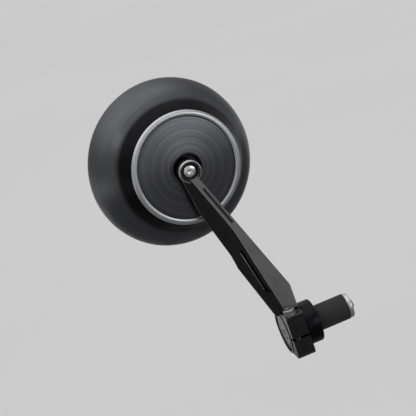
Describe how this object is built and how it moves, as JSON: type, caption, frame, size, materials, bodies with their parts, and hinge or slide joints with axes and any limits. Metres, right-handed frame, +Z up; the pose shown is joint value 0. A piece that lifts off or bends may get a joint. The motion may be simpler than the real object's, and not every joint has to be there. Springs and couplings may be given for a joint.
{
  "type": "motorcycle bar end mirror",
  "caption": "Round mirror in a deep turned head on a ball joint, carried by a bevelled arm that is clamped to a bar end plug with an expanding rubber sleeve.",
  "frame": {"origin": "centre of the handlebar's end face, where the neck flange seats", "axes": "+X into the right-hand handlebar tube, +Z up, +Y back to the rider, whom the glass faces"},
  "size_m": [0.1326, 0.0755, 0.198],
  "materials": {
    "black_anodised": "black anodised, milled, satin",
    "grey_anodised": "dark grey anodised, turned, satin",
    "brushed_disc": "dark anodised, circular brushed",
    "polished_aluminium": "polished",
    "bare_aluminium": "turned",
    "stainless": "bright",
    "black_steel": "black oxide",
    "zinc_steel": "zinc plated",
    "rubber": "matt",
    "nylon": "black",
    "foam": "foam",
    "mirror_glass": "silvered glass"
  },
  "bodies": {
    "bar_end": {"bar_adaptor": "black_anodised", "retaining_disc": "black_anodised", "expander_bolt": "zinc_steel", "expander_rubber": "rubber", "expander_cone": "bare_aluminium"},
    "arm": {"arm": "black_anodised", "pinch_screw": "stainless", "pinch_washer": "stainless", "stud_screw": "stainless"},
    "stud": {"ball_stud": "black_steel"},
    "cup": {"ball_cup": "nylon"},
    "head": {"head_shell": "grey_anodised", "polished_ring": "polished_aluminium", "back_disc": "brushed_disc", "pressure_plate": "bare_aluminium", "plate_screw_1": "zinc_steel", "plate_screw_2": "zinc_steel", "plate_screw_3": "zinc_steel", "plate_screw_4": "zinc_steel", "spring_washer_1": "zinc_steel", "spring_washer_2": "zinc_steel", "spring_washer_3": "zinc_steel", "spring_washer_4": "zinc_steel", "mirror_glass": "mirror_glass", "foam_pad": "foam", "rubber_bezel": "rubber"}
  },
  "joints": [
    {"name": "arm_swing", "type": "hinge", "parent": "bar_end", "child": "arm", "pos_m": [-0.0168, 0, 0], "axis": [1, 0, 0], "continuous": true},
    {"name": "stud_turn", "type": "hinge", "parent": "arm", "child": "stud", "pos_m": [-0.0463, 0.019, 0.125], "axis": [0, 1, 0], "continuous": true},
    {"name": "head_tilt", "type": "hinge", "parent": "stud", "child": "cup", "pos_m": [-0.0463, 0.019, 0.125], "axis": [1, 0, 0], "range_deg": [-6, 6]},
    {"name": "head_pan", "type": "hinge", "parent": "cup", "child": "head", "pos_m": [-0.0463, 0.019, 0.125], "axis": [0, 0, 1], "range_deg": [-18, 2]}
  ]
}
